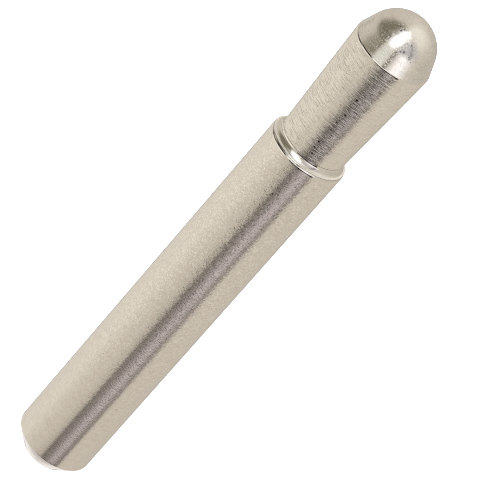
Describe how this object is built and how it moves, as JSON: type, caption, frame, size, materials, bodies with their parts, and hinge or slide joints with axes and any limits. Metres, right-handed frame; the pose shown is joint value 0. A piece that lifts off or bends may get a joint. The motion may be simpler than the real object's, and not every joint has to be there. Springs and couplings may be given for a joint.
{
  "type": "tiller pin",
  "caption": "Turned stainless pin for a sailing dinghy's tiller: plain shank with a chamfered foot, coved shoulder, and a reverse-tapered head with a domed nose that snaps into a rubber joint.",
  "frame": {"origin": "centre of the foot's flat end face", "axes": "+Z along the axis of turning, from the foot to the nose; X and Y are equal, since the pin is round"},
  "size_m": [0.0064, 0.0064, 0.0484],
  "materials": {
    "steel": "drawn bar on the shank, finely turned on the head, polished on the cove and the nose"
  },
  "bodies": {
    "root": {"tiller_pin": "steel"}
  },
  "joints": []
}
